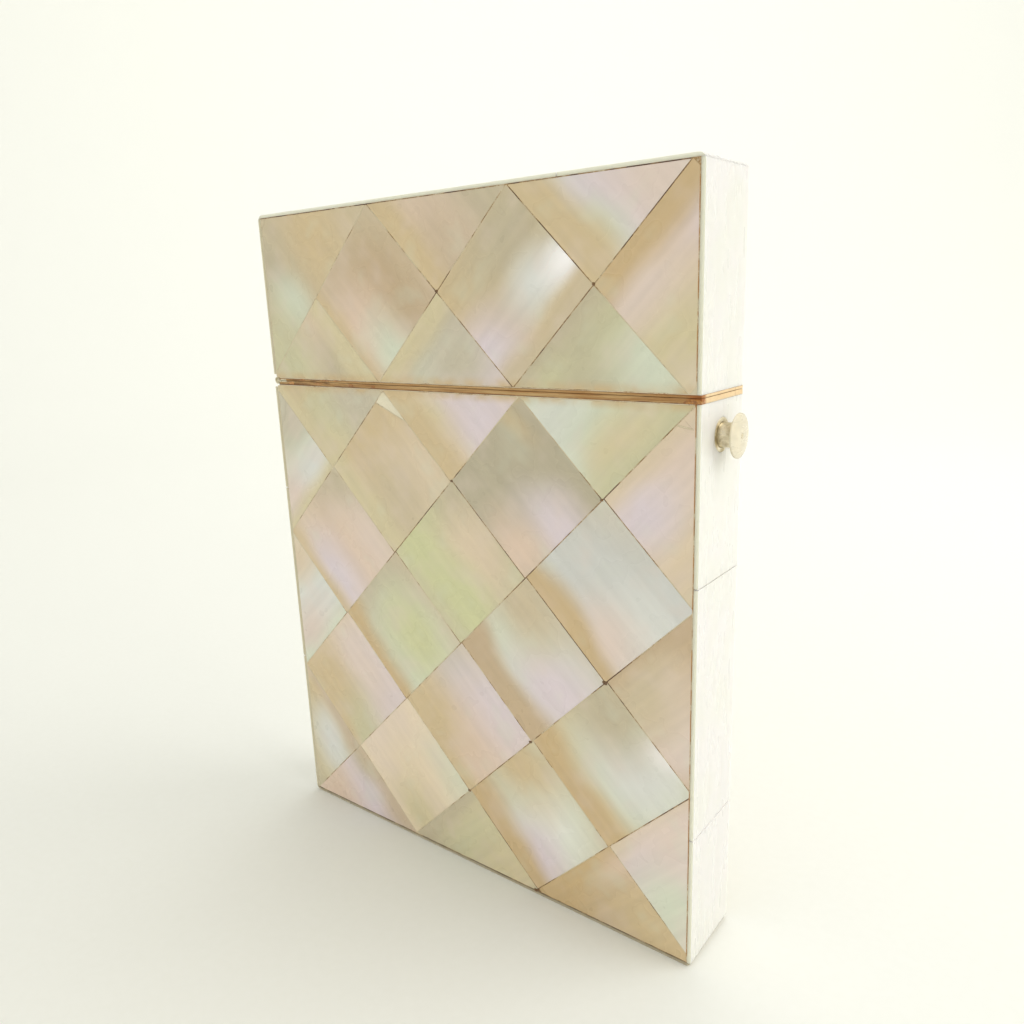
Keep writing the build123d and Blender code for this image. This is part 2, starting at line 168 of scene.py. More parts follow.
def cut_across(bm, axis, low, high, spacing):
    """Cuts a mesh into even slices along one axis, so that it can bend."""
    steps = max(1, round((high[axis] - low[axis]) / spacing))
    direction = Vector([1.0 if index == axis else 0.0 for index in range(3)])
    for step in range(1, steps):
        place = direction * (low[axis] + (high[axis] - low[axis]) * step / steps)
        cut_at(bm, place, direction)


def soften_edges(bm, width):
    """Rounds every sharp edge of a mesh and shades the rest smooth."""
    sharp = [edge for edge in bm.edges if edge.calc_face_angle(0.0) > SHARP]
    bmesh.ops.bevel(bm, geom=sharp, offset=width, segments=2, profile=0.6, affect="EDGES", clamp_overlap=True)


# ---- Materials ----
class Tree:
    """A material's node tree, with short calls for the nodes that are used here."""

    def __init__(self, name, **settings):
        self.material = bpy.data.materials.new(name)
        self.material.use_nodes = True
        self.tree = self.material.node_tree
        self.shader = self.tree.nodes["Principled BSDF"]
        self.set(**settings)

    def add(self, kind, inputs, **settings):
        node = self.tree.nodes.new(kind)
        for key, value in settings.items():
            setattr(node, key, value)
        for key, value in inputs.items():
            self.feed(node.inputs[key], value)
        return node

    def feed(self, socket, value):
        if isinstance(value, bpy.types.NodeSocket):
            self.tree.links.new(value, socket)
        else:
            socket.default_value = value

    def set(self, **values):
        for key, value in values.items():
            self.feed(self.shader.inputs[key.replace("_", " ")], value)

    def attribute(self, name, output="Color"):
        return self.add("ShaderNodeAttribute", {}, attribute_name=name).outputs[output]

    def place(self, stretch=(1, 1, 1)):
        """The place on the object in millimetres, stretched along each axis."""
        at = self.add("ShaderNodeTexCoord", {}).outputs["Object"]
        return self.vector("MULTIPLY", at, tuple(factor / MM for factor in stretch))

    def math(self, operation, a, b=0.0, clamp=False):
        inputs = {0: a, 1: b}
        return self.add("ShaderNodeMath", inputs, operation=operation, use_clamp=clamp).outputs[0]

    def vector(self, operation, a, b=(0, 0, 0)):
        return self.add("ShaderNodeVectorMath", {0: a, 1: b}, operation=operation).outputs["Vector"]

    def scaled(self, vector, factor):
        inputs = {0: vector, "Scale": factor}
        return self.add("ShaderNodeVectorMath", inputs, operation="SCALE").outputs["Vector"]

    def measure(self, operation, a, b=(0, 0, 0)):
        return self.add("ShaderNodeVectorMath", {0: a, 1: b}, operation=operation).outputs["Value"]

    def ramp(self, value, start, end, low=0.0, high=1.0):
        """Goes smoothly from low to high as a value goes from start to end."""
        inputs = {"Value": value, "From Min": start, "From Max": end, "To Min": low, "To Max": high}
        return self.add("ShaderNodeMapRange", inputs, interpolation_type="SMOOTHSTEP").outputs[0]

    def mix(self, factor, a, b):
        return self.add("ShaderNodeMix", {0: factor, 6: a, 7: b}, data_type="RGBA").outputs[2]

    def noise(self, vector, scale, detail=3.0, roughness=0.5, output="Fac"):
        inputs = {"Vector": vector, "Scale": scale, "Detail": detail, "Roughness": roughness}
        return self.add("ShaderNodeTexNoise", inputs).outputs[output]

    def threads(self, stretch, scale, direction):
        """Even waves, as threads that lie side by side."""
        inputs = {"Vector": self.place(stretch), "Scale": scale}
        return self.add("ShaderNodeTexWave", inputs, bands_direction=direction).outputs["Fac"]

    def along(self, *axis):
        """How far along an axis a point is, in millimetres."""
        return self.measure("DOT_PRODUCT", self.place(), axis)

    def facing(self, *axis):
        """How squarely a face looks along an axis."""
        normal = self.add("ShaderNodeTexCoord", {}).outputs["Normal"]
        return self.measure("DOT_PRODUCT", normal, axis)

    def bump(self, height, distance, strength=1.0):
        inputs = {"Height": height, "Distance": distance, "Strength": strength}
        return self.add("ShaderNodeBump", inputs).outputs[0]


# The palest of these colours, white, pearl and mint, stand in part for the shell's sheen, painted in.
SHELL = {
    "greige": (204, 188, 158),
    "olive": (193, 181, 154),
    "moss": (184, 174, 150),
    "grey": (198, 189, 168),
    "honey": (208, 186, 146),
    "ochre": (202, 175, 130),
    "brown": (195, 171, 138),
    "peach": (220, 201, 174),
    "clay": (202, 182, 156),
    "rose": (223, 199, 179),
    "pink": (224, 206, 195),
    "lilac": (220, 207, 213),
    "blush": (233, 215, 187),
    "sage": (202, 197, 162),
    "lime": (206, 206, 160),
    "cream": (212, 199, 162),
    "ivory": (228, 219, 194),
    "mint": (213, 218, 198),
    "pearl": (219, 219, 214),
    "silver": (206, 206, 202),
    "white": (232, 232, 224),
    # a painted highlight: the glint of the light on the polished shell
    "glint": (250, 247, 248),
}
SHADE = (0.83, 0.83, 0.81)      # the share of full light in which those colours are seen


def shell_colour(name):
    """A shell colour as it is in full light."""
    seen = linear(*SHELL[name])
    return tuple(value / shade for value, shade in zip(seen, SHADE)) + (1.0,)


PATCHES = ("shell_first", "shell_second", "shell_third", "shell_fourth")


def shell_material():
    """Mother of pearl: each lozenge has its own ground, a banded edge and four soft patches.

    The patches are in part the shell's own colour and in part its sheen painted in as colour:
    the pale patches are painted highlights. Glue has soaked into it along the case's mouth.
    """
    t = Tree("shell_lozenge", Coat_Weight=0.3, Coat_Roughness=0.07, IOR=1.55)
    seed = t.attribute("shell_seed", "Vector")
    grain = t.attribute("shell_grain", "Vector")
    own = t.vector("ADD", t.place(), seed)
    wander = t.vector("SUBTRACT", t.noise(own, 0.07, 1.5, output="Color"), (0.5, 0.5, 0.5))
    bent = t.vector("ADD", t.place((1, 0, 1)), t.scaled(wander, 6.0))

    # the patches carry both the shell's own colours and its painted sheen: the pale and glint patches are
    # painted highlights
    colour = t.attribute("shell_ground")
    for patch in PATCHES:
        away = t.vector("SUBTRACT", bent, t.attribute(f"{patch}_place", "Vector"))
        along = t.measure("DOT_PRODUCT", away, grain)
        squeezed = t.vector("SUBTRACT", away, t.scaled(grain, t.math("MULTIPLY", along, 0.3)))
        distance = t.measure("LENGTH", squeezed)
        radius = t.attribute(f"{patch}_size", "Fac")
        mask = t.ramp(distance, t.math("MULTIPLY", radius, 1.25), t.math("MULTIPLY", radius, 0.1))
        colour = t.mix(mask, colour, t.attribute(patch))

    from_centre = t.vector("SUBTRACT", bent, t.attribute("shell_centre", "Vector"))
    out = t.measure("DOT_PRODUCT", from_centre, t.attribute("shell_edge", "Vector"))
    inner = t.attribute("shell_band_start", "Fac")
    band = t.ramp(out, t.math("SUBTRACT", inner, 2.0), t.math("ADD", inner, 2.2), 0.0, 0.95)
    colour = t.mix(band, colour, t.attribute("shell_band"))

    cloud = t.noise(own, 0.2, 2.0, 0.5)
    colour = t.mix(t.ramp(cloud, 0.48, 0.75, 0.0, 0.25), colour, shell_colour("pink"))
    colour = t.mix(t.ramp(cloud, 0.45, 0.25, 0.0, 0.2), colour, shell_colour("mint"))

    along = t.measure("DOT_PRODUCT", own, grain)
    stretched = t.vector("SUBTRACT", own, t.scaled(grain, t.math("MULTIPLY", along, 0.9)))
    lines = t.noise(stretched, 0.9, 2.0, 0.45)
    colour = t.scaled(colour, t.ramp(lines, 0.15, 0.85, 0.955, 1.045))

    height = t.along(0, 0, 1)
    under_rims = t.ramp(height, BODY_TOP / MM - 1.4, BODY_TOP / MM)
    over_rims = t.ramp(height, LID_BOTTOM / MM + 1.6, LID_BOTTOM / MM)
    at_mouth = t.math("MULTIPLY", under_rims, over_rims)
    soaked = t.math("MULTIPLY", at_mouth, t.ramp(t.noise(own, 0.35, 2.0, 0.5), 0.3, 0.7, 0.2, 0.9))
    colour = t.mix(soaked, colour, shell_colour("ochre"))
    t.set(Base_Color=colour)
    t.set(Roughness=t.ramp(cloud, 0.2, 0.8, 0.22, 0.36))
    t.set(Normal=t.bump(lines, SHELL_BUMP))
    return t.material


def strip_material(name="shell_strip", along_z=True, pale=(247, 243, 233), rosy=(251, 243, 240),
                   painted_edge_light=(255, 250, 220)):
    """The paler, plainer shell of the strips, with its lines running along the strip.

    The last colour is painted on a strip's thickness where it faces the front and the back: a painted glow of
    light through the shell where it is pale, painted shade where it is dark. A strip that lies across is
    darker, in patches, along the foot of the field.
    """
    t = Tree(name, Coat_Weight=0.3, Coat_Roughness=0.08, IOR=1.6)
    t.set(Subsurface_Weight=0.6, Subsurface_Scale=1.5 * MM, Subsurface_Radius=(1.0, 0.96, 0.88))
    stretch = (1.0, 0.6, 0.12) if along_z else (0.12, 0.6, 1.0)
    cloud = t.noise(t.place(), 0.12, 3.0, 0.5)
    lines = t.noise(t.place(stretch), 1.1, 1.5, 0.45)
    colour = t.mix(t.ramp(cloud, 0.35, 0.65), linear(*pale), linear(*rosy))
    faint = linear(*(0.95 * value for value in pale))
    colour = t.mix(t.ramp(lines, 0.35, 0.85, 0.0, 0.3), colour, faint)
    # painted light: a strip's faces that look to the front and the back take the edge colour, a painted glow
    # through the shell on the pale strips and painted shade on the left and base strips
    painted_edge_mask = t.ramp(t.math("ABSOLUTE", t.facing(0, 1, 0)), 0.5, 0.9)
    colour = t.mix(t.math("MULTIPLY", painted_edge_mask, 0.9), colour, linear(*painted_edge_light))
    if not along_z:
        height = t.along(0, 0, 1)
        # darker, in patches, along the top of the strip just under the field; the lower part is left as it is
        dark_band = t.ramp(t.noise(t.place((0.6, 1, 1)), 0.8, 4.0, 0.6), 0.25, 0.6, 0.9, 0.45)
        clean = t.ramp(height, BASE_TOP / MM - 0.02, BASE_TOP / MM - 0.28)
        dark_band = t.math("MULTIPLY", dark_band, t.ramp(clean, 1.0, 0.0))
        below_field = t.ramp(height, BASE_TOP / MM + 0.1, BASE_TOP / MM)
        colour = t.mix(t.math("MULTIPLY", dark_band, below_field), colour, linear(104, 84, 52))
    t.set(Base_Color=colour)
    t.set(Roughness=t.ramp(lines, 0.2, 0.8, 0.22, 0.38))
    t.set(Normal=t.bump(lines, SHELL_BUMP))
    return t.material


def glue_material():
    """Old animal glue in the joints: nearly clear where it is thin, dark brown where it gathers."""
    t = Tree("old_glue", IOR=1.5)
    height = t.along(0, 0, 1)
    near_base = t.ramp(height, BASE_TOP / MM + 0.25, BASE_TOP / MM + 0.1)
    near_top = t.ramp(height, LID_TOP / MM - 0.25, LID_TOP / MM - 0.1, 0.0, 0.9)
    near_right = t.ramp(t.along(1, 0, 0), FIELD / MM - 0.25, FIELD / MM - 0.1, 0.0, 0.7)
    border = t.math("MAXIMUM", near_base, t.math("MAXIMUM", near_top, near_right))
    dark = t.math("MAXIMUM", t.attribute("glue_dark", "Fac"), border)

    spread = t.noise(t.place(), 0.4, 4.0, 0.6)
    fine = t.noise(t.place(), 6.0, 3.0, 0.6)
    amount = t.math("ADD", dark, t.ramp(spread, 0.3, 0.7, -0.6, 0.3))
    amount = t.math("ADD", amount, t.ramp(fine, 0.3, 0.7, -0.15, 0.15), clamp=True)
    colour = t.mix(t.ramp(amount, 0.15, 0.65), linear(226, 212, 184), linear(176, 140, 94))
    colour = t.mix(t.ramp(amount, 0.55, 1.05), colour, linear(96, 62, 34))
    amber = t.math("MULTIPLY", near_right, t.ramp(spread, 0.35, 0.6))
    colour = t.mix(amber, colour, linear(206, 146, 84))
    t.set(Base_Color=colour)
    t.set(Roughness=t.ramp(fine, 0.3, 0.7, 0.35, 0.6))
    t.set(Normal=t.bump(fine, FINE_BUMP))
    return t.material


def drop_material(name, thin, thick, thickest):
    """Glue that ran out of a joint and dried in a drop, darker where it is thicker."""
    t = Tree(name, IOR=1.5, Coat_Weight=0.4, Coat_Roughness=0.12)
    spread = t.noise(t.place(), 1.6, 4.0, 0.6)
    fine = t.noise(t.place(), 7.0, 3.0, 0.6)
    colour = t.mix(t.ramp(spread, 0.35, 0.65), linear(*thin), linear(*thick))
    colour = t.mix(t.ramp(fine, 0.5, 0.7, 0.0, 0.6), colour, linear(*thickest))
    t.set(Base_Color=colour)
    t.set(Roughness=t.ramp(fine, 0.3, 0.7, 0.25, 0.5))
    t.set(Normal=t.bump(fine, FINE_BUMP))
    return t.material


def wood_tree(name, light, dark, grain):
    """Fine-grained wood, as its tree and its colour. grain is how fast it changes along each axis."""
    t = Tree(name, IOR=1.45)
    rings = t.noise(t.place(grain), 1.0, 6.0, 0.6)
    pores = t.noise(t.place(tuple(4 * factor for factor in grain)), 1.6, 3.0, 0.7)
    colour = t.mix(t.ramp(rings, 0.35, 0.65), linear(*light), linear(*dark))
    deep = linear(*(0.6 * value for value in dark))
    colour = t.mix(t.ramp(pores, 0.62, 0.75, 0.0, 0.6), colour, deep)
    t.set(Base_Color=colour)
    t.set(Roughness=t.ramp(rings, 0.3, 0.7, 0.47, 0.65))
    t.set(Normal=t.bump(pores, FINE_BUMP, 0.7))
    return t, colour


def carcass_material():
    """The boards and rails under the shell."""
    return wood_tree("carcass_wood", (196, 158, 112), (150, 108, 66), (0.8, 0.8, 0.05))[0].material


def rim_material():
    """The thin strips round the mouth: honey-coloured, worn at the hinge end and stained by glue.

    The stain follows the shell's edges and the front right corner; the side towards the light is painted
    pale, a painted highlight.
    """
    t, colour = wood_tree("rim_wood", (208, 172, 120), (172, 124, 72), (0.1, 1.2, 3.0))
    height = t.along(0, 0, 1)
    smear = t.noise(t.place((0.2, 0.4, 1.2)), 1.0, 4.0, 0.6)
    worn_end = t.ramp(t.along(1, 0, 0), -10.0, -24.0, 0.0, 0.85)
    worn = t.math("MULTIPLY", t.ramp(smear, 0.42, 0.58), worn_end)
    colour = t.mix(worn, colour, linear(118, 80, 44))

    below = t.ramp(height, BODY_TOP / MM + 0.2, BODY_TOP / MM + 0.04)
    above = t.ramp(height, LID_BOTTOM / MM - 0.13, LID_BOTTOM / MM - 0.03)
    patchy = t.ramp(t.noise(t.place((0.5, 0.5, 0.5)), 0.9, 3.0, 0.6), 0.3, 0.55, 0.25, 0.95)
    colour = t.mix(t.math("MULTIPLY", below, patchy), colour, linear(110, 60, 32))
    colour = t.mix(t.math("MULTIPLY", above, patchy), colour, linear(138, 90, 48))

    near_corner = t.ramp(t.along(1, 0, 0), SIDE / MM - 2.4, SIDE / MM - 0.9)
    at_front = t.ramp(t.along(0, 1, 0), -FACE / MM + 1.8, -FACE / MM + 0.5)
    soaked = t.math("MULTIPLY", near_corner, at_front)
    soaked = t.math("MULTIPLY", soaked, t.ramp(smear, 0.3, 0.55, 0.35, 0.95))
    colour = t.mix(soaked, colour, linear(164, 98, 44))
    # painted light: faces turned to the right, towards the key light, are painted pale, except where the glue
    # has stained them
    facing_light_mask = t.ramp(t.facing(1, 0, 0), 0.5, 0.9, 0.0, 0.75)
    pale = t.math("MULTIPLY", facing_light_mask, t.ramp(soaked, 1.0, 0.2))
    colour = t.mix(pale, colour, linear(250, 222, 178))
    t.set(Base_Color=colour)
    return t.material


def metal_material(name, colour, tarnish, brushed):
    """Worn metal with tarnish in clouds. brushed is how fast its scratches change along each axis."""
    t = Tree(name, Metallic=1.0)
    cloud = t.noise(t.place(), 0.9, 5.0, 0.6)
    scratches = t.noise(t.place(brushed), 1.0, 4.0, 0.7)
    t.set(Base_Color=t.mix(t.ramp(cloud, 0.4, 0.7), linear(*colour), linear(*tarnish)))
    rough = t.math("ADD", t.ramp(cloud, 0.35, 0.7, 0.0, 0.2), t.ramp(scratches, 0.3, 0.7, -0.06, 0.08))
    t.set(Roughness=t.math("ADD", rough, 0.28))
    t.set(Normal=t.bump(scratches, 0.004 * MM))
    return t.material


def silk_material():
    """Plain-woven silk, a little faded."""
    t = Tree("silk_lining", Sheen_Weight=0.5, Sheen_Roughness=0.35, Specular_IOR_Level=0.35)
    weft = t.threads((0, 0, 1), 2.6, "Z")
    warp = t.threads((1, 1, 0), 2.0, "DIAGONAL")
    slub = t.noise(t.place((0.2, 0.2, 4.0)), 1.0, 3.0, 0.6)
    faded = t.noise(t.place(), 0.06, 3.0, 0.5)
    weave = t.math("MULTIPLY", t.math("ADD", weft, warp), 0.5)
    colour = t.mix(t.ramp(faded, 0.35, 0.65), linear(166, 182, 206), linear(184, 198, 214))
    colour = t.mix(t.ramp(slub, 0.55, 0.75, 0.0, 0.4), colour, linear(202, 212, 222))
    colour = t.mix(t.ramp(weave, 0.2, 0.8, 0.25, 0.0), colour, linear(128, 144, 172))
    t.set(Base_Color=colour)
    t.set(Roughness=t.ramp(weave, 0.0, 1.0, 0.6, 0.42))
    t.set(Normal=t.bump(t.math("ADD", weave, slub), FINE_BUMP))
    return t.material


def pearl_material():
    """The button's disc: one small round of shell."""
    t = Tree("button_shell", Coat_Weight=0.3, Coat_Roughness=0.1, IOR=1.6)
    cloud = t.noise(t.place(), 0.35, 3.0, 0.5)
    lines = t.noise(t.place((0.5, 0.3, 1.4)), 1.0, 1.5, 0.4)
    colour = t.mix(t.ramp(cloud, 0.35, 0.65), linear(232, 220, 192), linear(222, 212, 188))
    colour = t.mix(t.ramp(lines, 0.5, 0.75, 0.0, 0.35), colour, linear(204, 192, 162))
    t.set(Base_Color=colour)
    t.set(Roughness=t.ramp(lines, 0.3, 0.7, 0.25, 0.4))
    t.set(Normal=t.bump(lines, 0.001 * MM))
    return t.material


# ---- What each lozenge of the front looks like ----
# The key is the lozenge's place in half lozenges, across from the middle and up from the bottom
# of its field. The words are its ground, then the band along one edge (colour, edge, width in
# tenths of a lozenge's side), then up to four patches (colour, place, size in tenths of a
# lozenge). A patch's place is a side, or hundredths of a lozenge to the right and upwards.
COMPASS = {
    "c": (0, 0), "n": (0, 0.28), "s": (0, -0.28), "e": (0.28, 0), "w": (-0.28, 0),
    "ne": (0.2, 0.2), "nw": (-0.2, 0.2), "se": (0.2, -0.2), "sw": (-0.2, -0.2),
}
# Glint patches are painted highlights; white, pearl, mint, pink and lilac patches are partly the shell's
# colour and partly its sheen, painted in.
BODY_LOOKS = {
    (-2, 6): "greige; cream sw 1; honey -25:-12 3; sage 2:-22 3; grey 25:-6 3; cream 5:-40 2",
    (0, 6): "peach; honey sw 2.4; pink 12:-15 4; lilac 27:-10 3; cream -12:-20 2; peach 0:-38 2",
    (2, 6): "mint; sage se 1; pearl -20:-12 3; mint 0:-20 4; sage 27:-8 3; cream 12:-25 2",
    (-3, 5): "olive; cream se 1; mint 20:2 5; pink 12:-26 3; grey 8:36 3; pearl 30:0 2",
    (-1, 5): "greige; cream sw 2; honey 0:22 4; honey -30:-2 3; peach 26:2 3; greige 6:-20 3",
    (1, 5): "moss; moss ne 1; moss -12:12 4; lilac 20:-20 2.4; rose -5:-34 2; ochre 0:46 1.4",
    (3, 5): "greige; peach nw 1; rose -10:20 3; pink -15:0 4; peach -6:-22 3; lilac -25:-4 2",
    (-2, 4): "peach; honey sw 1; olive 0:28 4; pink 28:2 3; rose 2:-8 4; lilac -6:-26 3",
    (0, 4): "sage; sage sw 1; olive 0:32 5; lime -22:2 4; peach 20:8 3; lime 2:-24 3",
    (2, 4): "silver; ochre sw 2.2; greige -4:36 3; silver 0:4 6; pearl 26:-12 2; pink 6:-26 2.4",
    (-3, 3): "mint; mint se 1; pearl 22:4 4; pink 12:-30 3; peach 8:34 2",
    (-1, 3): "greige; ochre sw 1.6; olive -12:18 4; mint 18:-20 5; lime 12:-4 3",
    (1, 3): "greige; brown sw 3; pearl 15:2 4; mint -2:10 3; lilac 20:-14 3; greige 0:36 3",
    (3, 3): "brown; brown nw 1; rose -8:-4 3; pink -5:-22 3; greige -26:0 3",
    (-2, 2): "peach; honey sw 1; lilac 26:2 4; pink 10:8 3; sage 2:-32 3; honey -26:-4 3",
    (0, 2): "peach; honey sw 1.6; grey -6:30 3; lilac 20:6 4; rose 0:-20 4; honey -28:0 3",
    (2, 2): "honey; ochre sw 3; mint 20:-4 5; pearl 20:2 3; glint 29:18 0.9; olive -2:38 3.2",
    (-3, 1): "sage; clay ne 1; honey 12:28 3; olive 6:-30 3; cream 20:-22 3; pearl 24:-6 2.6",
    (-1, 1): "blush; blush sw 1; pink -12:10 4; mint 32:4 2.4; blush 4:-2 4; cream 6:-36 3",
    (1, 1): "greige; ochre sw 2.6; mint 12:-2 5; white 16:0 2.6; lilac 8:-26 2.6; honey -10:34 3",
    (3, 1): "pink; peach nw 1; peach -32:2 2; lilac -12:6 4; mint -8:-20 3; pink -5:24 3",
    (-2, 0): "pink; clay ne 1; lilac 8:18 5; olive 2:46 2; clay 38:10 2; rose -30:6 3",
    (0, 0): "sage; olive nw 1; olive -24:12 3; cream 10:32 3; sage 6:12 3; cream 30:6 3",
    (2, 0): "ochre; ochre nw 1; rose 10:42 2; brown 8:12 2.4; honey 26:10 4",
}
LID_LOOKS = {
    (-2, 2): "greige; greige ne 1; honey -2:-12 4; olive -45:-28 3; mint -24:-54 2; sage -42:-85 4",
    (0, 2): "greige; honey sw 2.2; grey 16:-6 3; olive 32:-10 3; rose 2:-26 4; clay 12:-32 3",
    (2, 2): "mint; honey sw 2.4; pearl -2:-20 3; lilac 12:-14 4; pink 30:-6 3; mint 0:-36 2",
    (-1, 1): "clay; honey sw 1; greige 0:32 4; brown 8:2 4; rose -8:-22 3; mint 15:-30 2",
    (1, 1): "honey; greige se 1.4; olive 0:30 4; pearl 18:5 1.6; glint 34:14 1; lilac -14:-30 2.4",
    (3, 1): "pink; ochre nw 2.2; lilac -8:10 4; rose -10:-8 3; cream -6:-30 4; pink -26:-4 2",
    (-2, 0): "greige; cream ne 2; rose 0:22 3; olive 22:8 3; sage -25:10 3",
    (0, 0): "greige; cream nw 2; olive 4:30 3; mint 2:6 2; lilac 28:8 3; grey 14:14 3",
    (2, 0): "olive; olive nw 1; moss -2:22 4; sage 16:30 3; mint 32:14 3; sage -30:6 2",
}
SLIVER_LOOK = "ivory; ivory sw 1"


def chance_look(key):
    """A look for a lozenge that has none written down, always the same one for the same place."""
    draw = random.Random(f"shell {key}")
    grounds = ["greige", "olive", "peach", "grey", "honey", "sage", "pink", "mint"]
    # the glows are partly the shell's colour and partly its sheen, painted in
    glows = ["mint", "lilac", "pearl", "pink", "cream", "white", "rose"]
    sides = list(COMPASS)
    words = [draw.choice(grounds)]
    band = draw.choice(["honey", "ochre", "olive", "cream"])
    words.append(f"{band} {draw.choice(['sw', 'se', 'nw', 'ne'])} {draw.choice([1, 2, 3, 4])}")
    for colours in (grounds, glows, glows):
        words.append(f"{draw.choice(colours)} {draw.choice(sides)} {draw.choice([3, 4, 5])}")
    return "; ".join(words)


def patch_place(words):
    """Where a patch is from its lozenge's centre, in lozenges."""
    if words in COMPASS:
        return COMPASS[words]
    return tuple(int(part) / 100 for part in words.split(":"))


def lozenge_at(x, height):
    """The lozenge that covers a point: half lozenges across and up, which add up to an even number."""
    places = [(across, up) for across in range(-4, 5) for up in range(-1, 8) if (across + up) % 2 == 0]
    return min(places, key=lambda place: abs(x - place[0] * HALF) + abs(height - place[1] * HALF))


# ---- Shell lozenges ----
def paint_layers(bm):
    """The vertex layers that the shell material reads."""
    layers = bm.verts.layers
    vectors = ["shell_seed", "shell_grain", "shell_centre", "shell_edge"]
    vectors += [f"{patch}_place" for patch in PATCHES]
    colours = ["shell_ground", "shell_band", *PATCHES]
    numbers = ["shell_band_start"] + [f"{patch}_size" for patch in PATCHES]
    paint = {name: layers.float_vector.new(name) for name in vectors}
    paint.update({name: layers.float_color.new(name) for name in colours})
    paint.update({name: layers.float.new(name) for name in numbers})
    return paint


def paint_tile(paint, island, bottom, shift, looks, back):
    """Stores one lozenge's look on its vertices."""
    middle = sum((vert.co for vert in island), Vector()) / len(island)
    reach = max((vert.co - middle).length for vert in island)
    side = -1 if back else 1
    across, up = lozenge_at(side * middle.x - shift, middle.z - bottom)
    place = f"{across} {up} {bottom > BODY_TOP} {back}"
    look = chance_look(place) if back else looks[across, up]
    if reach < SLIVER:
        look = SLIVER_LOOK
    ground, band_words, *patches = look.split("; ")
    band, band_side, band_width = band_words.split()
    draw = random.Random(f"seed {place}")
    centre = Vector((side * (shift + across * HALF), 0, bottom + up * HALF)) / MM
    edge_x, edge_z = COMPASS[band_side]
    edge = Vector((side * edge_x, 0, edge_z)).normalized()
    values = {
        "shell_seed": Vector([draw.uniform(-80, 80) for _ in range(3)]),
        "shell_grain": Vector((edge.z, 0, -edge.x)),
        "shell_centre": centre,
        "shell_edge": edge,
        "shell_ground": shell_colour(ground),
        "shell_band": shell_colour(band),
        "shell_band_start": (0.5 - float(band_width) / 10) * LOZENGE_SIDE / MM,
    }
    for name in PATCHES:
        values[name] = shell_colour(ground)
        values[f"{name}_place"] = centre
        values[f"{name}_size"] = 0.01
    for name, words in zip(PATCHES, patches):
        colour, where, size = words.split()
        step_x, step_z = patch_place(where)
        values[name] = shell_colour(colour)
        values[f"{name}_place"] = centre + Vector((side * step_x, 0, step_z)) * LOZENGE / MM
        values[f"{name}_size"] = PATCH_SPREAD * (float(size) + 0.5) / 10 * LOZENGE / MM
    for vert in island:
        for name, value in values.items():
            vert[paint[name]] = value


def lozenge_piece(node, bottom, shift, looks, material):
    """One CAD node of lozenges, with polished edges and each lozenge's own look."""
    back = "_back_" in node
    bm = welded(node)
    outer = FACE if back else -FACE
    near = 0.01 * MM
    rim = [edge for edge in bm.edges if all(abs(vert.co.y - outer) < near for vert in edge.verts)]
    bmesh.ops.bevel(bm, geom=rim, offset=TILE_EDGE, segments=2, profile=0.6, affect="EDGES")
    paint = paint_layers(bm)
    for island in islands(bm):
        paint_tile(paint, island, bottom, shift, looks, back)
    piece = new_piece(node.replace("_lozenges", "_shell"), bm)
    stand_for(piece, node, material)


# ---- Glue between the lozenges ----
# How dark the glue is where joints cross and halfway along them, as half lozenges across and up.
DARK_JOINTS = {
    "body_front": {
        (-1, 6): 0.5, (-2, 5): 0.45, (0, 5): 0.8, (2, 5): 0.75, (-1, 4): 0.6, (1, 4): 0.9, (2, 3): 1.1,
        (-2, 3): 0.3, (0, 3): 0.4, (-1, 2): 0.35, (1, 2): 0.8, (3, 2): 0.9, (-2, 1): 0.5, (0, 1): 0.7,
        (2, 1): 0.6, (1, 0): 0.8, (-3, 0): 0.6,
        (-1.5, 5.5): 0.85, (2.5, 5.5): 0.8, (1.5, 5.5): 0.2, (-2.5, 4.5): 0.5, (-0.5, 4.5): 1.0,
        (0.5, 4.5): 0.85, (1.5, 4.5): 0.6, (2.5, 4.5): 0.6, (-0.5, 3.5): 0.4, (0.5, 3.5): 0.35,
        (1.5, 3.5): 1.0, (2.5, 3.5): 0.85, (-2.5, 2.5): 0.2, (-0.5, 2.5): 0.4, (0.5, 2.5): 0.55,
        (2.5, 2.5): 0.7, (-1.5, 1.5): 0.5, (-0.5, 1.5): 0.3, (0.5, 1.5): 0.65, (2.5, 1.5): 0.95,
        (-2.5, 0.5): 0.35, (0.5, 0.5): 0.75, (2.5, 0.5): 0.7,
    },
    "lid_front": {
        (-1, 2): 0.4, (1, 2): 0.8, (3, 2): 0.9, (-2, 1): 0.35, (0, 1): 0.7, (2, 1): 0.75, (1, 0): 0.85,
        (-1.5, 1.5): 0.35, (-0.5, 1.5): 0.5, (0.5, 1.5): 0.6, (1.5, 1.5): 0.9, (2.5, 1.5): 0.9,
        (-0.5, 0.5): 0.2, (0.5, 0.5): 0.7, (1.5, 0.5): 0.7,
    },
}
# Drops of glue on the face, at the same kind of place, with their radius in millimetres.
SPECKS = {
    "body_front": {(2, 3): 0.42, (1, 2): 0.3, (0, 5): 0.26, (2, 5): 0.24, (0, 1): 0.3, (1, 0): 0.36},
    "lid_front": {(0, 1): 0.3, (2, 1): 0.24},
}


def box_bmesh(low, high):
    """A box between two corners."""
    bm = bmesh.new()
    bmesh.ops.create_cube(bm, size=1.0)
    size = [b - a for a, b in zip(low, high)]
    middle = [(a + b) / 2 for a, b in zip(low, high)]
    for vert in bm.verts:
        vert.co = Vector([centre + length * place for centre, length, place in zip(middle, size, vert.co)])
    return bm


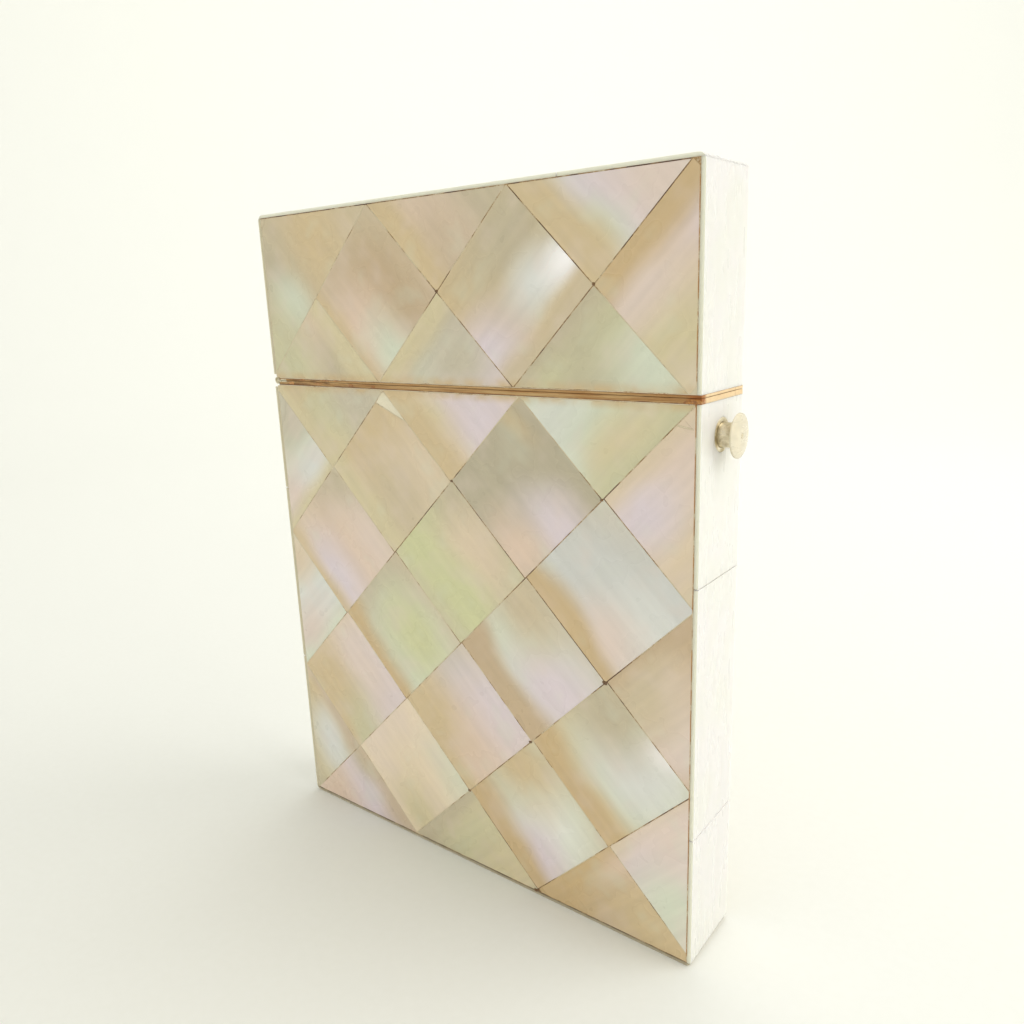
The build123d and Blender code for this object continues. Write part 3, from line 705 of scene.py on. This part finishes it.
def lozenge_cutter(field):
    """The lozenges of one field and the room round the hinge, as one shape to cut with."""
    bm = bmesh.new()
    for node in (f"{field}_lozenges", f"{field}_part_lozenges"):
        clean = welded(node)
        mesh = bpy.data.meshes.new("cutter_part")
        clean.to_mesh(mesh)
        clean.free()
        bm.from_mesh(mesh)
        bpy.data.meshes.remove(mesh)
    hinge = Vector((-FIELD, 0, (BODY_TOP + LID_BOTTOM) / 2))
    turn = Matrix.Translation(hinge) @ Matrix.Rotation(math.radians(90), 4, "X")
    round_hinge = {"radius1": HINGE_ROOM, "radius2": HINGE_ROOM, "depth": 4 * FACE}
    bmesh.ops.create_cone(bm, cap_ends=True, segments=48, matrix=turn, **round_hinge)
    return new_piece("cutter", bm)


def cut_away(piece, cutter):
    """Takes one shape out of another for good, and removes the first."""
    cut = piece.modifiers.new("cut", "BOOLEAN")
    cut.object = cutter
    cut.operation = "DIFFERENCE"
    cut.solver = "EXACT"
    cut.use_self = True
    depsgraph = bpy.context.evaluated_depsgraph_get()
    made = bpy.data.meshes.new_from_object(piece.evaluated_get(depsgraph))
    piece.modifiers.clear()
    piece.data = made
    bpy.data.objects.remove(cutter)
    made.materials.clear()


def darken_glue(mesh, field, bottom, top, shift, back):
    """Stores how dark the glue is on each point, by the crossing or half-way place next to it."""
    bm = bmesh.new()
    bm.from_mesh(mesh)
    for level in range(round((top - bottom) / HALF)):
        cut_at(bm, (0, 0, bottom + (level + 0.5) * HALF), (0, 0, 1))
    dark = bm.verts.layers.float.new("glue_dark")
    side = -1 if back else 1
    for vert in bm.verts:
        across = round(2 * (side * vert.co.x - shift) / HALF) / 2
        up = round(2 * (vert.co.z - bottom) / HALF) / 2
        chance = random.Random(f"glue {across} {up} {field}").uniform(0.0, 0.6 if back else 0.15)
        vert[dark] = DARK_JOINTS.get(field, {}).get((across, up), chance)
    bm.to_mesh(mesh)
    bm.free()


def glue_web(field, bottom, top, shift, back, web_material, speck_material):
    """What fills the joints of one field: a thin sheet with the lozenges cut out of it."""
    body = "case" if field.startswith("body") else "lid"
    sign = 1 if back else -1
    outer = sign * (FACE - GLUE_SUNK)
    inner = sign * (FACE - GLUE_DEPTH)
    low = (-FIELD, min(outer, inner), bottom)
    high = (FIELD, max(outer, inner), top)
    web = new_piece(f"{field}_glue", box_bmesh(low, high))
    cut_away(web, lozenge_cutter(field))
    darken_glue(web.data, field, bottom, top, shift, back)
    web.data.materials.append(web_material)
    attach(web, body)
    for (across, up), radius in SPECKS.get(field, {}).items():
        crossing = Vector((shift + across * HALF, outer, bottom + up * HALF))
        nearest = min((vert.co for vert in web.data.vertices), key=lambda at: (at - crossing).length)
        place = (nearest.x, outer, nearest.z)
        size = (radius * MM, SPECK_PROUD, 0.8 * radius * MM)
        glue_drop(f"{field}_speck_{across + 3}_{up}", body, place, size, speck_material)


def glue_drop(name, body, place, size, material):
    """A dried drop of glue, a little lumpy. size is its half length along each axis."""
    bm = bmesh.new()
    bmesh.ops.create_icosphere(bm, subdivisions=4, radius=1.0)
    start = Vector(place) / MM
    for vert in bm.verts:
        lump = 1 + 0.35 * noise.noise(1.4 * vert.co + start)
        vert.co = Vector([centre + half * lump * part for centre, half, part in zip(place, size, vert.co)])
    for face in bm.faces:
        face.smooth = True
    drop = new_piece(name, bm)
    drop.data.materials.append(material)
    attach(drop, body)


# Drops of glue squeezed out along the mouth, most of them near the hinge: how far across from the
# middle and up from the edge of the body's or the lid's shell, their length and height, in millimetres.
SEAM_DROPS = {
    "case": [
        (-33.8, 0.35, 1.4, 0.45), (-27.2, 0.43, 1.8, 0.36), (-19.6, 0.38, 1.3, 0.44),
        (-14.7, 0.35, 0.9, 0.4), (36.4, 0.22, 1.0, 0.36),
    ],
    "lid": [(-31.0, -0.11, 1.5, 0.26), (-25.5, -0.11, 2.2, 0.26), (-23.0, -0.07, 1.2, 0.22)],
}


def seam_drops(material):
    """The drops along the mouth, and one more that sits on the front right corner."""
    number = 0
    for body, edge in (("case", BODY_TOP), ("lid", LID_BOTTOM)):
        for across, up, length, height in SEAM_DROPS[body]:
            number += 1
            place = (across * MM, SEAM_FRONT, edge + up * MM)
            size = (length / 2 * MM, SEAM_PROUD, height / 2 * MM)
            glue_drop(f"seam_drop_{number}", body, place, size, material)
    place = (SIDE - 0.7 * MM, SEAM_FRONT + 0.06 * MM, BODY_TOP + 0.3 * MM)
    glue_drop("corner_drop", "case", place, (0.85 * MM, 0.3 * MM, 0.27 * MM), material)


# ---- The other pieces ----
def even_shading(piece):
    """Shades large faces flat and leaves the turning of the light to the rounded edges."""
    even = piece.modifiers.new("even", "WEIGHTED_NORMAL")
    even.keep_sharp = False


def turned_disc(material):
    """The button's disc, turned from a round of shell: a sloping back, a thin rim and a low crown."""
    low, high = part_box("button_disc")
    radius = (high.z - low.z) / 2
    stem_low, stem_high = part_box("button_stem")
    seat = (stem_high.z - stem_low.z) / 2
    bore = 0.25 * MM
    edge = 0.25 * MM
    ease = 0.04 * MM
    slope = 0.1 * MM
    crown = high.x - low.x - edge
    profile = [(low.x, bore), (low.x, seat), (low.x + slope, radius - ease)]
    arc_steps = 4
    for step in range(1, arc_steps + 1):
        angle = math.radians(90 * step / arc_steps)
        along = low.x + slope + ease * (1 - math.cos(angle))
        profile.append((along, radius - ease * (1 - math.sin(angle))))
    rings = 16
    for ring in range(rings + 1):
        share = 1 - ring / rings
        reach = bore + (radius - bore) * share
        rise = low.x + edge + crown * (1 - share ** 2)
        profile.append((rise, reach))

    turns = 96
    bm = bmesh.new()
    loops = []
    for x, reach in profile:
        loop = []
        for turn in range(turns):
            angle = math.tau * turn / turns
            y = reach * math.cos(angle)
            z = reach * math.sin(angle) + (low.z + high.z) / 2
            loop.append(bm.verts.new((x, y, z)))
        loops.append(loop)
    for inner, outer in zip(loops, loops[1:] + loops[:1]):
        for turn in range(turns):
            after = (turn + 1) % turns
            face = bm.faces.new((inner[turn], inner[after], outer[after], outer[turn]))
            face.smooth = True
    bmesh.ops.recalc_face_normals(bm, faces=bm.faces)
    disc = new_piece("turned_disc", bm)
    even_shading(disc)
    stand_for(disc, "button_disc", material)


def bending_spring(material):
    """The catch spring, which is held by its rivets, cut into slices along its height so that it could bend
    towards the button's stem.
    """
    bm = welded("catch_spring")
    low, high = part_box("catch_spring")
    cut_across(bm, 2, low, high, 0.8 * MM)
    soften_edges(bm, SPRING_EDGE)
    spring = new_piece("spring_blade", bm)
    spring.data.materials.append(material)
    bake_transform(spring)
    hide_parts("catch_spring")


def silk_panel(node, material):
    """Silk glued over card: soft edges, and a face that is very slightly puckered."""
    spacing = 1.5 * MM
    pucker = 0.04 * MM
    pucker_length = 4 * MM
    bm = welded(node)
    low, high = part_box(node)
    size = high - low
    thin = min(range(3), key=lambda axis: size[axis])
    for axis in range(3):
        if axis != thin:
            cut_across(bm, axis, low, high, spacing)
    soften_edges(bm, SILK_EDGE)
    bm.normal_update()
    for vert in bm.verts:
        if abs(vert.normal[thin]) > 0.999:
            share = 0.5 + 0.5 * noise.noise(vert.co / pucker_length)
            vert.co -= vert.normal * pucker * share
    for face in bm.faces:
        face.smooth = True
    panel = new_piece(node.replace("_lining", "_silk"), bm)
    stand_for(panel, node, material)


def dress(node, material, width):
    """Gives a CAD node its material, and edges of that width rounded by modifiers."""
    piece = nodes[node]
    piece.data.materials.clear()
    piece.data.materials.append(material)
    weld = piece.modifiers.new("weld", "WELD")
    weld.merge_threshold = WELD
    flatten = piece.modifiers.new("flatten", "DECIMATE")
    flatten.decimate_type = "DISSOLVE"
    flatten.angle_limit = FLAT
    soften = piece.modifiers.new("soften", "BEVEL")
    soften.width = width
    soften.segments = 2
    soften.limit_method = "ANGLE"
    soften.angle_limit = SHARP
    soften.use_clamp_overlap = True
    even_shading(piece)


# ---- Floor, lights and camera ----
def studio():
    """A pale floor that curves up into the background all round."""
    flat = 0.45
    bend = 0.55
    wall_top = 1.1
    profile = [(0.98 * flat, 0.0), (flat, 0.0)]
    steps = 24
    for step in range(1, steps + 1):
        angle = math.radians(90 * step / steps)
        profile.append((flat + bend * math.sin(angle), bend * (1 - math.cos(angle))))
    profile.append((flat + bend, wall_top))

    turns = 96
    bm = bmesh.new()
    rings = []
    for radius, height in profile:
        ring = []
        for turn in range(turns):
            angle = math.tau * turn / turns
            ring.append(bm.verts.new((radius * math.cos(angle), radius * math.sin(angle), height)))
        rings.append(ring)
    bm.faces.new(rings[0])
    for lower, upper in zip(rings, rings[1:]):
        for turn in range(turns):
            after = (turn + 1) % turns
            bm.faces.new((lower[turn], lower[after], upper[after], upper[turn]))
    bmesh.ops.recalc_face_normals(bm, faces=bm.faces)
    bm.faces.ensure_lookup_table()
    if bm.faces[0].normal.z < 0:
        bmesh.ops.reverse_faces(bm, faces=bm.faces)
    floor = new_piece("floor", bm)
    for face in floor.data.polygons:
        face.use_smooth = True
    t = Tree("pale_paper", Roughness=0.9, Specular_IOR_Level=0.1)
    grain = t.noise(t.place(), 0.8, 3.0, 0.5)
    t.set(Base_Color=t.mix(grain, linear(240, 240, 234), linear(243, 243, 238)))
    floor.data.materials.append(t.material)


def lamp(name, place, target, size, power):
    """A round soft light that looks at a target and that the camera doesn't see."""
    data = bpy.data.lights.new(name, "AREA")
    data.shape = "DISK"
    data.size = size
    data.energy = power
    light = bpy.data.objects.new(name, data)
    light.location = place
    light.rotation_euler = (Vector(target) - Vector(place)).to_track_quat("-Z", "Y").to_euler()
    light.visible_camera = False
    bpy.context.scene.collection.objects.link(light)


def lights():
    """A key light from the right and behind, a light on the backdrop, and a soft white all round."""
    middle = (0, 0, 0.05)
    lamp("key", (0.42, 0.16, 0.40), middle, 0.6, 1.75)
    lamp("backdrop", (-0.1, 0.25, 0.75), (-0.6, 0.8, 0.35), 0.4, 2.4)
    world = bpy.data.worlds.new("soft_white")
    world.use_nodes = True
    background = world.node_tree.nodes["Background"]
    background.inputs["Color"].default_value = linear(250, 250, 246)
    background.inputs["Strength"].default_value = 0.82
    bpy.context.scene.world = world
    bpy.context.scene.view_settings.view_transform = "Standard"


CAMERA_PLACE = Vector((78.3, -92.9, 87.65)) * MM
CAMERA_AZIMUTH = 37.83          # degrees, as are the next two
CAMERA_ELEVATION = 14.22
CAMERA_ROLL = 2.14
CAMERA_LENS = 29.39             # millimetres on a 36 mm sensor


def camera():
    """A camera close in front of the case, to its button side, that looks a little down."""
    data = bpy.data.cameras.new("camera")
    data.lens = CAMERA_LENS
    data.sensor_width = 36
    data.clip_start = 0.005
    data.clip_end = 10
    eye = bpy.data.objects.new("camera", data)
    bpy.context.scene.collection.objects.link(eye)
    around = Matrix.Rotation(math.radians(CAMERA_AZIMUTH), 4, "Z")
    tilt = Matrix.Rotation(math.radians(90 - CAMERA_ELEVATION), 4, "X")
    roll = Matrix.Rotation(math.radians(-CAMERA_ROLL), 4, "Z")
    eye.matrix_world = Matrix.Translation(CAMERA_PLACE) @ around @ tilt @ roll
    bpy.context.scene.camera = eye


# ---- The object ----
camera()
lights()
studio()

shell = shell_material()
strip = strip_material()
strip_across = strip_material("shell_strip_across", along_z=False)
# painted shade on the left strips' front and back edges
strip_left = strip_material("shell_strip_left", painted_edge_light=(206, 194, 160))
# painted shade: the base strips are a darker copy of the strip shell for the shade near the floor, with
# painted shade on their front and back edges too
shaded_base_strip = strip_material("shell_strip_base_shaded", False, (226, 214, 188), (230, 216, 196), (200, 186, 156))
own_strips = {
    "top_strips": strip_across,
    "base_strips": shaded_base_strip,
    "body_left_strips": strip_left,
    "lid_left_strip": strip_left,
}
glue = glue_material()
speck_glue = drop_material("speck_glue", (140, 104, 64), (104, 74, 44), (70, 48, 30))
seam_glue = drop_material("seam_glue", (206, 146, 76), (150, 92, 40), (96, 54, 24))
rim_wood = rim_material()
carcass_wood = carcass_material()
nickel = metal_material("nickel_silver", (236, 226, 202), (190, 176, 142), (0.5, 0.1, 6.0))
steel = metal_material("spring_steel", (170, 172, 176), (96, 92, 88), (6.0, 6.0, 0.2))
brass = metal_material("catch_brass", (196, 164, 104), (140, 106, 60), (4.0, 4.0, 0.5))
silk = silk_material()
pearl = pearl_material()

for part, bottom, top, shift, looks in (
    ("body", BASE_TOP, BODY_TOP, 0.0, BODY_LOOKS),
    ("lid", LID_BOTTOM, LID_TOP, LID_SHIFT, LID_LOOKS),
):
    for side in ("front", "back"):
        glue_web(f"{part}_{side}", bottom, top, shift, side == "back", glue, speck_glue)
        for kind in ("lozenges", "part_lozenges"):
            lozenge_piece(f"{part}_{side}_{kind}", bottom, shift, looks, shell)

for node in nodes:
    if node.endswith(("_board", "_rail")):
        dress(node, carcass_wood, WOOD_EDGE)
    elif node.endswith("_rim"):
        dress(node, rim_wood, WOOD_EDGE)
    elif node.endswith(("_strips", "_strip")):
        dress(node, own_strips.get(node, strip), STRIP_EDGE)
    elif node.endswith("_lining"):
        silk_panel(node, silk)
    elif node.startswith("hinge") or node in ("button_stem", "button_bush"):
        dress(node, nickel, METAL_EDGE)
    elif node == "catch_nose":
        dress(node, steel, METAL_EDGE)
    elif node in ("catch_plate", "catch_plate_pins", "spring_rivets"):
        dress(node, brass, METAL_EDGE)

seam_drops(seam_glue)
turned_disc(pearl)
bending_spring(steel)
